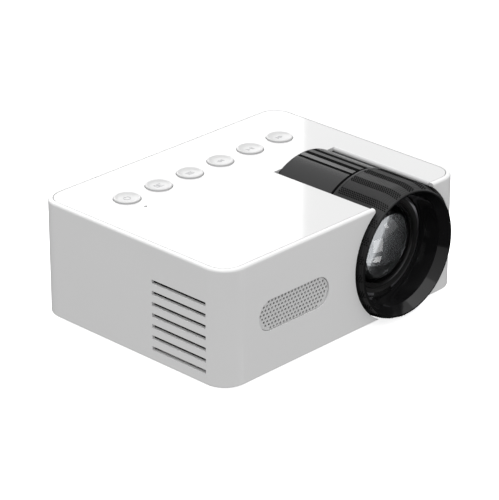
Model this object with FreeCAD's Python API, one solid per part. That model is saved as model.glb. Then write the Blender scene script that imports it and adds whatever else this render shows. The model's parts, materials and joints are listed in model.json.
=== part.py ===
"""Small LED home projector, built as separate pieces.

Millimetres. +Z is up, -Y is the way the lens looks, +X is to the right of someone facing the lens.
The origin is on the surface the projector stands on, under the middle of its bounding box.

The case is a rounded rectangular wall frame, closed by an inset gloss panel above and a plate below.
A knurled focus ring lies along Y in the right half: its crown stands out of the top through a slot,
its nose stands out of the front wall, and its underside dips through a slot in the base plate.
Behind the ring a fixed half-round cowl carries its line on to the middle of the top.

Light starts at an LED on a finned heatsink in the left rear, runs along +X through condenser,
Fresnel lenses and LCD, turns at a 45 degree mirror, and leaves along -Y through the lens barrel.
The ring's helical slots drive three pins of the barrel, which straight slots in a fixed tube guide.
"""

import FreeCAD
import Part

import math
import os

from FreeCAD import Vector

# ---------------------------------------------------------------- case
CASE_W = 130.0
CASE_D = 99.4
CASE_H = 47.3
CORNER_R = 9.6
WALL = 2.2
TOP_EDGE_R = 0.9
BASE_EDGE_R = 0.6
FOOT_H = 4.0
NOSE_OUT = 2.6  # the focus ring in front of the front wall

Y_NOSE = -(CASE_D + NOSE_OUT) / 2
Y_FRONT = Y_NOSE + NOSE_OUT
Y_BACK = Y_FRONT + CASE_D
Y_MID = (Y_FRONT + Y_BACK) / 2
Z_BASE = FOOT_H
Z_TOP = Z_BASE + CASE_H

PANEL_T = 1.4
PANEL_INSET = 2.05
PANEL_GAP = 0.25
PANEL_SLOT_R = 1.2  # rounding of the panel along the lens slot
LEDGE_IN = 4.2  # how far the ledges under the panel and over the base reach in from the outside
LEDGE_T = 1.5
COVER_T = 2.0
COVER_INSET = 1.65
COVER_GAP = 0.15

# ---------------------------------------------------------------- lens line
LENS_X = 32.0
LENS_Z = Z_BASE + 24.1
RING_R = 27.1
RING_BACK = -25.6
RING_SHOULDER = -46.1
SHOULDER_BLEND = 14.0
GRIP_R = 26.95  # the ring between its lips, under the knurl
LIP_W = 1.2
RIM_R = 25.6
SLOT_HALF = 16.6  # half width of the slot in the top panel
OPENING_R = 27.35
RING_ROOM_R = 27.75
COWL_R = 26.6
COWL_T = 1.6
COWL_FRONT = -24.2
COWL_BACK = 3.4
SLOT_BACK = 3.5
COWL_GROOVES = ((79.2, 2.5), (89.2, 2.2), (98.0, 1.4))  # angle from +X towards +Z, width
COWL_GROOVE_DEPTH = 0.55
COWL_GROOVE_END = 0.4  # plain cowl left behind each groove

# ---------------------------------------------------------------- focus drive
TUBE_IN_R = 17.68
TUBE_OUT_R = 19.4
TUBE_FRONT = -38.6
SLEEVE_IN_R = 19.48
SLEEVE_OUT_R = 21.6
SLEEVE_FRONT = -37.7
BARREL_R = 17.6
BARREL_FRONT = -39.0
BARREL_BACK = 3.0
PIN_R = 1.2
PIN_Y = -32.0
PIN_REACH = 21.1
PIN_ANGLES = (90.0, 210.0, 330.0)
CAM_CLEAR = 0.15
FOCUS_TRAVEL = 2.5  # the barrel each way
FOCUS_TURN = 45.0  # the ring each way, degrees
CLIP_BACK = -37.85
CLIP_T = 0.5
CLIP_IN_R = 18.7
FLANGE_R, FLANGE_T, FLANGE_HALF_H = 22.3, 1.6, 20.4
FLANGE_BOLT_R = 20.9
FLANGE_ANGLES = (35.5, 144.5, 215.5, 324.5)

# ---------------------------------------------------------------- light path
LIGHT_Y = 23.0
ENGINE_X0, ENGINE_X1 = -27.0, 50.5
ENGINE_Y0, ENGINE_Y1 = 6.5, 39.5
ENGINE_Z0, ENGINE_Z1 = LENS_Z - 14.5, LENS_Z + 14.5
ENGINE_WALL = 1.5
PLATE_HALF_Y = 15.35  # half width of the flat optics, which stand in grooves in the side walls
PLATE_HALF_Z = 12.85
ENGINE_POSTS = ((-22.5, 10.5), (-22.5, 35.5), (44.0, 34.5), (18.0, 10.5))
CONDENSER_X = -19.0
MIRROR_L, MIRROR_T = 38.0, 1.2
FLAT_OPTICS = {  # name: (face nearest the LED, thickness)
    "heat_glass": (-9.0, 1.1),
    "fresnel_collimator": (-4.5, 1.0),
    "lcd_panel": (1.0, 1.6),
    "fresnel_field": (6.0, 1.0),
}

# ---------------------------------------------------------------- controls and vents
BUTTON_R = 5.3
BUTTON_HOLE_R = 5.5
BUTTON_PROUD = 0.65
BUTTON_Y = 25.7
BUTTON_X0 = -42.3
BUTTON_PITCH = 16.7
BUTTON_NAMES = ("power", "source", "menu", "left", "play", "right")
INDICATOR = (-42.4, 15.5)
VENT_COUNT = 7
VENT_PITCH = 4.55
VENT_H = 1.6
VENT_Y0, VENT_Y1 = -38.5, -10.6
VENT_MID_Z = 22.9
VENT_WALL = 1.4  # the side wall is thinner round the vents
GRILLE_X, GRILLE_Z = -28.6, 27.4
GRILLE_L, GRILLE_H = 37.6, 12.65
GRILLE_PITCH = 1.754
GRILLE_ROW = 1.543
GRILLE_HOLE_R = 0.53
GRILLE_GAP = 0.25
SPEAKER_FRONT = Y_FRONT + WALL + 0.8
SPEAKER_EAR = 22.6
SPEAKER_L, SPEAKER_H = 40.0, 19.0
CONE_Y = SPEAKER_FRONT + 1.4

# ---------------------------------------------------------------- boards and cooling
BOARD_Z = 8.5
BOARD_T = 1.6
BOARD_TOP = BOARD_Z + BOARD_T
BOARD_POSTS = ((-43.5, -23.5), (-5.0, -23.5), (-24.0, 43.8), (51.0, 21.0))
KEY_BOARD_Z = 44.4
KEY_BOARD_T = 1.0
KEY_POSTS = (BUTTON_X0 + BUTTON_PITCH / 2, BUTTON_X0 + BUTTON_PITCH * 4.5)
SWITCH_BODY_H = 1.8
SINK_Y0, SINK_Y1 = 5.0, 41.0
SINK_Z0, SINK_Z1 = 9.5, 42.5
FIN_COUNT, FIN_T = 9, 1.2
FAN_SIZE, FAN_T = 35.0, 10.0
FAN_X0 = -62.6
FAN_BOLT, FAN_SCREW_R = 14.5, 0.98
FAN_Y, FAN_Z = -22.5, 27.0
CASE_SCREWS = ((-57.5, -43.2), (57.5, -43.2), (-58.0, 45.0), (58.0, 45.0))
FEET = ((-52.2, -36.9), (52.2, -36.9), (-52.2, 38.0), (52.2, 38.0))
FOOT_R = 4.4
TRIPOD = (5.5, -9.0)
SOCKET_FRONT = Y_BACK - 0.4
SOCKET_BACK = 40.2
SOCKETS = {  # name: (x, width, height)
    "hdmi": (27.0, 15.0, 6.0),
    "usb": (9.5, 13.2, 6.6),
    "card": (-15.5, 13.0, 2.0),
}
AV_X, DC_X, IR_X = -3.0, 46.5, 38.2
AV_R, DC_R, IR_R = 3.0, 4.4, 2.6
IR_Z = 26.0


# ---------------------------------------------------------------- shape helpers
def box(x0, x1, y0, y1, z0, z1):
    return Part.makeBox(x1 - x0, y1 - y0, z1 - z0, Vector(x0, y0, z0))


def rod_x(y, z, r, x0, x1):
    return Part.makeCylinder(r, x1 - x0, Vector(x0, y, z), Vector(1, 0, 0))


def rod_y(x, z, r, y0, y1):
    return Part.makeCylinder(r, y1 - y0, Vector(x, y0, z), Vector(0, 1, 0))


def rod_z(x, y, r, z0, z1):
    return Part.makeCylinder(r, z1 - z0, Vector(x, y, z0), Vector(0, 0, 1))


def cone_z(x, y, r0, r1, z0, z1):
    return Part.makeCone(r0, r1, z1 - z0, Vector(x, y, z0), Vector(0, 0, 1))


def joined(shapes):
    """One solid out of pieces that overlap."""
    first, *rest = shapes
    return first.multiFuse(rest).removeSplitter() if rest else first


def group(shapes):
    """Several separate solids kept as one node."""
    return Part.makeCompound(list(shapes))


def rounded_outline(w, d, r, z):
    """Closed wire of a rectangle with round corners, centred on the case."""
    hw, hd = w / 2, d / 2
    k = r * (1 - math.sqrt(0.5))
    edges = []
    for sx, sy, turn in ((1, 1, 0), (-1, 1, 1), (-1, -1, 0), (1, -1, 1)):
        ends = [Vector(sx * hw, Y_MID + sy * (hd - r), z), Vector(sx * (hw - r), Y_MID + sy * hd, z)]
        if turn:
            ends.reverse()
        middle = Vector(sx * (hw - k), Y_MID + sy * (hd - k), z)
        edges.append((ends[0], Part.Arc(ends[0], middle, ends[1]).toShape(), ends[1]))
    wire = []
    for i, (_, arc, end) in enumerate(edges):
        wire.append(arc)
        wire.append(Part.LineSegment(end, edges[(i + 1) % 4][0]).toShape())
    return Part.Wire(Part.__sortEdges__(wire))


def case_block(inset, z0, z1):
    """The case's plan, taken in by inset on every side, from z0 to z1."""
    r = max(CORNER_R - inset, 1.0)
    wire = rounded_outline(CASE_W - 2 * inset, CASE_D - 2 * inset, r, z0)
    return Part.Face(wire).extrude(Vector(0, 0, z1 - z0))


def stadium(x, z, length, height, y0, y1):
    """A round-ended bar across X, of that overall length and height, from y0 to y1."""
    r = height / 2
    h = length / 2 - r
    a, b = Vector(x - h, y0, z + r), Vector(x + h, y0, z + r)
    c, d = Vector(x + h, y0, z - r), Vector(x - h, y0, z - r)
    right = Part.Arc(b, Vector(x + length / 2, y0, z), c).toShape()
    left = Part.Arc(d, Vector(x - length / 2, y0, z), a).toShape()
    wire = Part.Wire([Part.LineSegment(a, b).toShape(), right, Part.LineSegment(c, d).toShape(), left])
    return Part.Face(wire).extrude(Vector(0, y1 - y0, 0))


def turned(profile):
    """Solid of revolution about the lens axis from (y, radius) corners."""
    points = [Vector(LENS_X, y, LENS_Z + r) for y, r in profile]
    face = Part.Face(Part.makePolygon(points + [points[0]]))
    return face.revolve(Vector(LENS_X, 0, LENS_Z), Vector(0, 1, 0), 360)


def sag(curve_r, r):
    """Depth of a spherical surface of radius curve_r at height r, with curve_r's sign."""
    if not curve_r:
        return 0.0
    return math.copysign(abs(curve_r) - math.sqrt(curve_r**2 - r**2), curve_r)


def glass_lens(centre, axis, r, edge, front_r, back_r):
    """A lens whose rim starts at centre and is edge thick along axis. A positive radius bulges outwards."""
    f, b = sag(front_r, r), sag(back_r, r)
    side = Vector(0, 0, 1)
    axis = Vector(*axis)
    centre = Vector(*centre)

    def at(along, out):
        return centre + axis * along + side * out

    edges = [Part.LineSegment(at(0, r), at(edge, r)).toShape()]
    if b:
        middle = at(edge + b - sag(back_r, r / 2), r / 2)
        edges.append(Part.Arc(at(edge, r), middle, at(edge + b, 0)).toShape())
    else:
        edges.append(Part.LineSegment(at(edge, r), at(edge, 0)).toShape())
    edges.append(Part.LineSegment(at(edge + b, 0), at(-f, 0)).toShape())
    if f:
        middle = at(-f + sag(front_r, r / 2), r / 2)
        edges.append(Part.Arc(at(-f, 0), middle, at(0, r)).toShape())
    else:
        edges.append(Part.LineSegment(at(0, 0), at(0, r)).toShape())
    return Part.Face(Part.Wire(edges)).revolve(centre, axis, 360)


def about_lens(shape, degrees):
    """shape turned about the lens axis, counted from +X towards +Z."""
    turned_shape = shape.copy()
    turned_shape.rotate(Vector(LENS_X, 0, LENS_Z), Vector(0, 1, 0), -degrees)
    return turned_shape


def screw_z(x, y, head_z, head_r, head_h, shank_r, length, up):
    """Pan-head screw whose shank runs along Z from its head, with a cross recess in the head."""
    s = 1 if up else -1
    z = sorted((head_z, head_z + s * head_h))
    head = rod_z(x, y, head_r, *z)
    z = sorted((head_z + s * head_h, head_z + s * (head_h + length)))
    shank = rod_z(x, y, shank_r, *z)
    z = sorted((head_z, head_z + s * head_h * 0.6))
    arm, half = head_r * 0.62, head_r * 0.14
    cross = [box(x - arm, x + arm, y - half, y + half, *z), box(x - half, x + half, y - arm, y + arm, *z)]
    return joined([head, shank]).cut(joined(cross))


def button_x(i):
    return BUTTON_X0 + i * BUTTON_PITCH


def edges_at(shape, z):
    return [e for e in shape.Edges if all(abs(v.Z - z) < 1e-6 for v in e.Vertexes)]


# ---------------------------------------------------------------- case pieces
def housing_frame():
    block = case_block(0, Z_BASE, Z_TOP)
    block = block.makeFillet(TOP_EDGE_R, edges_at(block, Z_TOP))
    block = block.makeFillet(BASE_EDGE_R, edges_at(block, Z_BASE))
    ledge_top = Z_TOP - PANEL_T
    ledge_base = Z_BASE + COVER_T
    cuts = [
        case_block(WALL, ledge_base + LEDGE_T, ledge_top - LEDGE_T),
        case_block(LEDGE_IN, Z_BASE - 1, Z_TOP + 1),
        case_block(PANEL_INSET - PANEL_GAP, ledge_top, Z_TOP + 1),
        case_block(COVER_INSET - COVER_GAP, Z_BASE - 1, ledge_base),
    ]
    cuts.append(rod_y(LENS_X, LENS_Z, OPENING_R, Y_FRONT - 1, Y_FRONT + WALL + 0.01))
    cuts.append(rod_y(LENS_X, LENS_Z, RING_ROOM_R, Y_FRONT + WALL, COWL_FRONT))
    cuts.append(box(LENS_X - SLOT_HALF, LENS_X + SLOT_HALF, Y_FRONT - 1, SLOT_BACK, Z_TOP - 2.2, Z_TOP + 1))
    cuts.append(stadium(GRILLE_X, GRILLE_Z, GRILLE_L, GRILLE_H, Y_FRONT - 1, Y_FRONT + WALL + 1))
    for i in range(VENT_COUNT):
        z = VENT_MID_Z + (i - (VENT_COUNT - 1) / 2) * VENT_PITCH
        z0, z1 = z - VENT_H / 2, z + VENT_H / 2
        cuts.append(box(-CASE_W / 2 - 1, -CASE_W / 2 + WALL + 1, VENT_Y0, VENT_Y1, z0, z1))
    half = VENT_PITCH * VENT_COUNT / 2
    x0, z0, z1 = VENT_WALL - CASE_W / 2, VENT_MID_Z - half, VENT_MID_Z + half
    cuts.append(box(x0, x0 + WALL, VENT_Y0 - 1, VENT_Y1 + 1, z0, z1))
    cuts += rear_cuts()
    frame = block.cut(cuts)
    posts = []
    for x, y in CASE_SCREWS:
        top = 9.2 if y < 0 else 22.0
        post = rod_z(x, y, 2.8, Z_BASE + COVER_T, top).common(case_block(WALL / 2, Z_BASE, Z_TOP))
        posts.append(post)
    for s in (-1, 1):
        x = GRILLE_X + s * SPEAKER_EAR
        posts.append(rod_y(x, GRILLE_Z, 2.2, Y_FRONT + WALL - 0.3, SPEAKER_FRONT))
    frame = joined([frame, *posts])
    holes = [rod_z(x, y, 0.92, Z_BASE, 9.0 if y < 0 else 15.0) for x, y in CASE_SCREWS]
    for s in (-1, 1):
        x, y0 = GRILLE_X + s * SPEAKER_EAR, Y_FRONT + WALL - 1.0
        holes.append(rod_y(x, GRILLE_Z, 0.72, y0, SPEAKER_FRONT + 1))
        y, x0 = FAN_Y + s * FAN_BOLT, 1.0 - CASE_W / 2
        holes.append(rod_x(y, FAN_Z + FAN_BOLT, FAN_SCREW_R + 0.02, x0, x0 + WALL))
    return frame.cut(holes)


def rear_cuts():
    """Openings in the rear wall for the sockets and the infrared window."""
    y0, y1 = Y_BACK - WALL - 1, Y_BACK + 1
    cuts = []
    for x, w, h in SOCKETS.values():
        gap = 0.35
        cuts.append(box(x - w / 2 - gap, x + w / 2 + gap, y0, y1, BOARD_TOP - gap, BOARD_TOP + h + gap))
    cuts.append(rod_y(AV_X, BOARD_TOP + AV_R, AV_R + 0.3, y0, y1))
    cuts.append(rod_y(DC_X, BOARD_TOP + DC_R, DC_R + 0.3, y0, y1))
    cuts.append(rod_y(IR_X, IR_Z, IR_R + 0.1, y0, y1))
    for row in range(4):
        for column in range(2):
            x, z = -40.0 + column * 21.0, 24.0 + row * 4.55
            cuts.append(box(x - 9, x + 9, y0, y1, z - VENT_H / 2, z + VENT_H / 2))
    return cuts


def top_panel():
    panel = case_block(PANEL_INSET, Z_TOP - PANEL_T, Z_TOP)
    panel = panel.makeFillet(0.25, edges_at(panel, Z_TOP))
    slot = box(LENS_X - SLOT_HALF, LENS_X + SLOT_HALF, Y_FRONT - 1, SLOT_BACK, Z_TOP - 5, Z_TOP + 1)
    holes = [rod_z(button_x(i), BUTTON_Y, BUTTON_HOLE_R, Z_TOP - 3, Z_TOP + 1) for i in range(6)]
    holes.append(rod_z(*INDICATOR, 0.62, Z_TOP - 3, Z_TOP + 1))
    panel = panel.cut(slot)
    along = [e for e in edges_at(panel, Z_TOP) if abs(abs(e.CenterOfMass.x - LENS_X) - SLOT_HALF) < 1e-6]
    panel = panel.makeFillet(PANEL_SLOT_R, along).cut(holes)
    key_top = KEY_BOARD_Z + KEY_BOARD_T
    posts = [rod_z(x, BUTTON_Y, 1.75, key_top, Z_TOP - PANEL_T + 0.2) for x in KEY_POSTS]
    hooks = []
    ledge = Z_TOP - PANEL_T - LEDGE_T
    for side, y in ((-1, 1.0), (-1, 30.0), (1, 12.0), (1, 36.0)):
        x0, x1 = sorted((side * 59.2, side * 60.6))
        hooks.append(box(x0, x1, y - 3, y + 3, ledge - 2.6, Z_TOP - PANEL_T + 0.2))
        x0, x1 = sorted((side * 59.2, side * 61.6))
        hooks.append(box(x0, x1, y - 3, y + 3, ledge - 1.4, ledge - 0.1))
    panel = joined([panel, *posts, *hooks])
    return panel.cut([rod_z(x, BUTTON_Y, 0.7, key_top - 1, Z_TOP - PANEL_T - 0.4) for x in KEY_POSTS])


def bottom_cover():
    top = Z_BASE + COVER_T
    cover = case_block(COVER_INSET, Z_BASE, top)
    cuts = [rod_y(LENS_X, LENS_Z, RING_ROOM_R, Y_FRONT - 1, COWL_FRONT)]
    for i in range(7):
        x = -55.0 + i * 3.6
        cuts.append(box(x, x + 1.4, 8.0, 30.0, Z_BASE - 1, top + 1))
    cuts += [rod_z(x, y, FOOT_R + 0.05, Z_BASE - 1, Z_BASE + 0.6) for x, y in FEET]
    for x, y in CASE_SCREWS:
        cuts.append(rod_z(x, y, 1.3, Z_BASE - 1, top + 1))
        cuts.append(rod_z(x, y, 2.3, Z_BASE - 1, Z_BASE + 1.1))
    cover = cover.cut(cuts)
    posts = [rod_z(x, y, 2.4, top - 0.2, BOARD_Z) for x, y in BOARD_POSTS]
    posts += [rod_z(x, y, 2.4, top - 0.2, ENGINE_Z0) for x, y in ENGINE_POSTS]
    posts.append(rod_z(*TRIPOD, 6.4, top - 0.2, 12.6))
    posts.append(box(-34.0, -31.0, 5.0, 7.0, top - 0.2, SINK_Z0))
    posts.append(box(-34.0, -31.0, 31.5, 41.0, top - 0.2, SINK_Z0))
    posts.append(box(-60.4, FAN_X0 + FAN_T, FAN_Y - 15.5, FAN_Y + 15.5, top - 0.2, FAN_Z - FAN_SIZE / 2))
    cover = joined([cover, *posts])
    holes = [rod_z(x, y, 0.85, top - 1.0, BOARD_Z + 1) for x, y in BOARD_POSTS]
    for x, y in ENGINE_POSTS:
        holes.append(rod_z(x, y, 1.3, Z_BASE - 1, ENGINE_Z0 + 1))
        holes.append(rod_z(x, y, 2.3, Z_BASE - 1, Z_BASE + 1.6))
    holes.append(rod_z(*TRIPOD, 4.5, Z_BASE - 1, 11.4))
    return cover.cut(holes)


def rubber_feet():
    feet = []
    for x, y in FEET:
        foot = rod_z(x, y, FOOT_R, 0, Z_BASE + 0.6)
        lower = [e for e in foot.Edges if all(abs(v.Z) < 1e-6 for v in e.Vertexes)]
        feet.append(foot.makeFillet(0.7, lower))
    return group(feet)


def case_screws():
    return group([screw_z(x, y, Z_BASE + 0.1, 2.1, 1.0, 0.9, 3.6, True) for x, y in CASE_SCREWS])


def engine_screws():
    """Long screws up through the base into the engine, and short ones through the lens tube's flange."""
    long_screws = [screw_z(x, y, Z_BASE + 0.5, 2.1, 1.1, 0.98, 10.8, True) for x, y in ENGINE_POSTS]
    return group(long_screws + lens_tube_screws())


def tripod_insert():
    """Brass insert; its plain bore is the minor diameter of a quarter-inch camera thread."""
    body = rod_z(*TRIPOD, 4.45, Z_BASE, 11.4)
    grooves = [rod_z(*TRIPOD, 5, z, z + 0.5).cut(rod_z(*TRIPOD, 4.1, z, z + 0.5)) for z in (5.5, 7.5, 9.5)]
    return body.cut([rod_z(*TRIPOD, 2.6, Z_BASE - 1, 11.0), *grooves])


def speaker_grille():
    """Plate with a triangular grid of holes that fills the opening, with a flange behind the wall."""
    face = Y_FRONT + 0.5
    back = Y_FRONT + WALL
    plate = stadium(GRILLE_X, GRILLE_Z, GRILLE_L - 2 * GRILLE_GAP, GRILLE_H - 2 * GRILLE_GAP, face, back)
    flange = stadium(GRILLE_X, GRILLE_Z, GRILLE_L + 2.8, GRILLE_H + 2.8, back + 0.02, back + 0.8)
    web = stadium(GRILLE_X, GRILLE_Z, GRILLE_L - 0.6, GRILLE_H - 0.6, face + 0.5, back + 0.5)
    window = stadium(GRILLE_X, GRILLE_Z, GRILLE_L - 2.0, GRILLE_H - 2.0, face + 0.7, back + 2)
    plate = joined([plate, web, flange]).cut(window)
    r_in = GRILLE_H / 2 - GRILLE_HOLE_R - GRILLE_GAP - 0.1
    half = GRILLE_L / 2 - GRILLE_H / 2
    holes = []
    for row in range(-4, 4):
        z = (row + 0.5) * GRILLE_ROW
        for column in range(-12, 13):
            x = (column + (0.5 if row % 2 else 0.0)) * GRILLE_PITCH
            beyond = max(abs(x) - half, 0.0)
            if math.hypot(beyond, z) <= r_in:
                holes.append(rod_y(GRILLE_X + x, GRILLE_Z + z, GRILLE_HOLE_R, face - 0.5, face + 1.5))
    return plate.cut(holes)


def lens_cowl():
    """Half-round cover behind the ring, with three grooves along its crown and flanges under the panel."""
    tube = rod_y(LENS_X, LENS_Z, COWL_R, COWL_FRONT, COWL_BACK)
    bore = rod_y(LENS_X, LENS_Z, COWL_R - COWL_T, COWL_FRONT - 1, COWL_BACK - COWL_T)
    shell = tube.cut(bore).common(box(LENS_X - 40, LENS_X + 40, -60, 60, Z_TOP - 3.4, Z_TOP + 20))
    flange_z = Z_TOP - PANEL_T
    reach = SLOT_HALF + 1.9
    flange = box(LENS_X - reach, LENS_X + reach, COWL_FRONT, COWL_BACK, flange_z - 1.4, flange_z - 0.05)
    flange = flange.cut(rod_y(LENS_X, LENS_Z, COWL_R - COWL_T, COWL_FRONT - 1, COWL_BACK - COWL_T))
    half = SLOT_HALF - 0.12
    lip = box(LENS_X - half, LENS_X + half, COWL_BACK - COWL_T, COWL_BACK, flange_z - 1, Z_TOP)
    lip = lip.common(rod_y(LENS_X, LENS_Z, COWL_R, COWL_FRONT, COWL_BACK))
    cowl = joined([shell, flange, lip])
    floor_x = LENS_X + COWL_R - COWL_GROOVE_DEPTH
    grooves = []
    for angle, width in COWL_GROOVES:
        z0, z1 = LENS_Z - width / 2, LENS_Z + width / 2
        groove = box(floor_x, floor_x + 2, COWL_FRONT - 1, COWL_BACK - COWL_GROOVE_END, z0, z1)
        grooves.append(about_lens(groove, angle))
    return cowl.cut(grooves)


# ---------------------------------------------------------------- controls
def button(i):
    """Cap, hidden flange, and the stem that reaches into its switch."""
    x = button_x(i)
    under = Z_TOP - PANEL_T
    cap = rod_z(x, BUTTON_Y, BUTTON_R, under - 0.6, Z_TOP + BUTTON_PROUD)
    cap = cap.makeFillet(0.4, edges_at(cap, Z_TOP + BUTTON_PROUD))
    flange = rod_z(x, BUTTON_Y, 6.3, under - 1.0, under - 0.1)
    stem = rod_z(x, BUTTON_Y, 1.5, KEY_BOARD_Z + KEY_BOARD_T + 1.1, under - 0.9)
    return joined([cap, flange, stem])


def tact_switches():
    base = KEY_BOARD_Z + KEY_BOARD_T
    switches = []
    for i in range(6):
        x = button_x(i)
        body = box(x - 3.1, x + 3.1, BUTTON_Y - 3.1, BUTTON_Y + 3.1, base, base + SWITCH_BODY_H)
        switches.append(body.cut(rod_z(x, BUTTON_Y, 1.85, base + 0.5, base + SWITCH_BODY_H + 1)))
    return group(switches)


def key_board():
    """The buttons' circuit board, with the indicator's LED on it."""
    top = KEY_BOARD_Z + KEY_BOARD_T
    board = box(-50.0, 48.0, 13.0, 31.0, KEY_BOARD_Z, top)
    board = board.cut([rod_z(x, BUTTON_Y, 0.9, KEY_BOARD_Z - 1, top + 1) for x in KEY_POSTS])
    x, y = INDICATOR
    return joined([board, box(x - 0.8, x + 0.8, y - 0.4, y + 0.4, top, top + 0.7)])


def indicator_light():
    """Clear light pipe from the indicator LED up to the panel face."""
    x, y = INDICATOR
    z = KEY_BOARD_Z + KEY_BOARD_T + 0.75
    return joined([rod_z(x, y, 0.55, z, Z_TOP - 0.05), rod_z(x, y, 1.2, z + 1.2, Z_TOP - PANEL_T - 0.05)])


# ---------------------------------------------------------------- focus drive
def cam_slot(angle):
    """Cutters for one helical slot of the ring's sleeve: short bars along the helix the pin follows."""
    steps = 12
    half = PIN_R + CAM_CLEAR
    over = 0.3 / SLEEVE_IN_R
    turn = math.radians(FOCUS_TURN)
    rise = FOCUS_TRAVEL / turn
    cutters = []
    for i in range(steps):
        t = [-turn - over + (2 * turn + 2 * over) * k / steps for k in (i, i + 1)]
        mid = (t[0] + t[1]) / 2
        run = (t[1] - t[0]) * (SLEEVE_IN_R + SLEEVE_OUT_R) / 2
        climb = (t[1] - t[0]) * rise
        length = math.hypot(run, climb) + 0.25
        bar = Part.makeBox(5.0, 2 * half, length, Vector(-2.5, -half, -length / 2))
        bar.rotate(Vector(0, 0, 0), Vector(1, 0, 0), -math.degrees(math.atan2(climb, run)))
        bar.translate(Vector(LENS_X + (SLEEVE_IN_R + SLEEVE_OUT_R) / 2, PIN_Y + mid * rise, LENS_Z))
        cutters.append(about_lens(bar, angle + math.degrees(mid)))
    for t in (-turn - over, turn + over):
        end = rod_x(PIN_Y + t * rise, LENS_Z, half, LENS_X + SLEEVE_IN_R - 1.5, LENS_X + SLEEVE_OUT_R + 1.5)
        cutters.append(about_lens(end, angle + math.degrees(t)))
    return cutters


def focus_ring():
    """Hand ring with a funnel in its nose and the sleeve whose helical slots move the barrel."""
    profile = [
        (RING_BACK, RING_R - 1.8),
        (RING_BACK, RING_R - 0.3),
        (RING_BACK - 0.3, RING_R),
        (RING_BACK - LIP_W, RING_R),
        (RING_BACK - LIP_W - 0.15, GRIP_R),
        (RING_SHOULDER, GRIP_R),
        (Y_NOSE + 0.35, RIM_R),
        (Y_NOSE, RIM_R - 0.4),
        (Y_NOSE, 24.7),
        (Y_NOSE + 4.0, 22.5),
        (-38.8, 21.0),
        (SLEEVE_FRONT, 21.0),
        (SLEEVE_FRONT, SLEEVE_IN_R),
        (RING_BACK, SLEEVE_IN_R),
        (RING_BACK, SLEEVE_OUT_R),
        (-37.2, SLEEVE_OUT_R),
        (-38.8, 22.7),
        (-45.2, 23.9),
        (-45.2, RING_R - 1.8),
    ]
    ring = turned(profile)
    shoulder = [e for e in ring.Edges if all(abs(v.Y - RING_SHOULDER) < 1e-6 for v in e.Vertexes)]
    ring = ring.makeFillet(SHOULDER_BLEND, shoulder)
    for angle in PIN_ANGLES:
        ring = ring.cut(cam_slot(angle))
    return ring


def lens_tube():
    """Fixed guide tube with three straight slots, a collar the ring turns against and a flange."""
    profile = [
        (ENGINE_Y0, TUBE_IN_R),
        (ENGINE_Y0, FLANGE_R),
        (ENGINE_Y0 - FLANGE_T, FLANGE_R),
        (ENGINE_Y0 - FLANGE_T, TUBE_OUT_R),
        (-23.3, TUBE_OUT_R),
        (-23.3, SLEEVE_OUT_R),
        (RING_BACK + 0.45, SLEEVE_OUT_R),
        (RING_BACK + 0.45, TUBE_OUT_R),
        (CLIP_BACK + 0.05, TUBE_OUT_R),
        (CLIP_BACK + 0.05, CLIP_IN_R - 0.05),
        (CLIP_BACK - CLIP_T - 0.05, CLIP_IN_R - 0.05),
        (CLIP_BACK - CLIP_T - 0.05, TUBE_OUT_R),
        (TUBE_FRONT, TUBE_OUT_R),
        (TUBE_FRONT, TUBE_IN_R),
    ]
    tube = turned(profile)
    half = PIN_R + CAM_CLEAR
    cuts = []
    for angle in PIN_ANGLES:
        y0, y1 = PIN_Y - FOCUS_TRAVEL, PIN_Y + FOCUS_TRAVEL
        cuts.append(about_lens(box(LENS_X + 15, LENS_X + 20, y0, y1, LENS_Z - half, LENS_Z + half), angle))
        for y in (y0 - 0.1, y1 + 0.1):
            cuts.append(about_lens(rod_x(y, LENS_Z, half, LENS_X + 15, LENS_X + 20), angle))
    for angle in FLANGE_ANGLES:
        cuts.append(about_lens(rod_y(LENS_X + FLANGE_BOLT_R, LENS_Z, 0.75, 4.0, 7.0), angle))
    trim = FLANGE_R + 1 - FLANGE_HALF_H
    for z in (LENS_Z - FLANGE_R - 1, LENS_Z + FLANGE_HALF_H):
        cuts.append(box(LENS_X - 30, LENS_X + 30, ENGINE_Y0 - 3, ENGINE_Y0 + 1, z, z + trim))
    return tube.cut(cuts)


def retaining_clip():
    """Open spring-steel ring in the tube's groove; it keeps the focus ring from sliding forward."""
    y0, y1 = CLIP_BACK - CLIP_T, CLIP_BACK
    ring = turned([(y0, CLIP_IN_R), (y0, 20.6), (y1, 20.6), (y1, CLIP_IN_R)])
    gap = box(LENS_X + 15, LENS_X + 25, y0 - 1, y1 + 1, LENS_Z - 5, LENS_Z + 5)
    return ring.cut(about_lens(gap, 270))


def friction_washer():
    y0, y1 = RING_BACK + 0.05, RING_BACK + 0.4
    return turned([(y0, SLEEVE_IN_R), (y0, 21.4), (y1, 21.4), (y1, SLEEVE_IN_R)])


def lens_tube_screws():
    face = ENGINE_Y0 - FLANGE_T
    x = LENS_X + FLANGE_BOLT_R
    screws = []
    for angle in FLANGE_ANGLES:
        head = rod_y(x, LENS_Z, 1.3, face - 1.0, face)
        shank = rod_y(x, LENS_Z, 0.7, face - 0.1, ENGINE_Y0 + 1.4)
        cross = box(x - 0.8, x + 0.8, face - 1.1, face - 0.5, LENS_Z - 0.2, LENS_Z + 0.2)
        screws.append(about_lens(joined([head, shank]).cut(cross), angle))
    return screws


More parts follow.
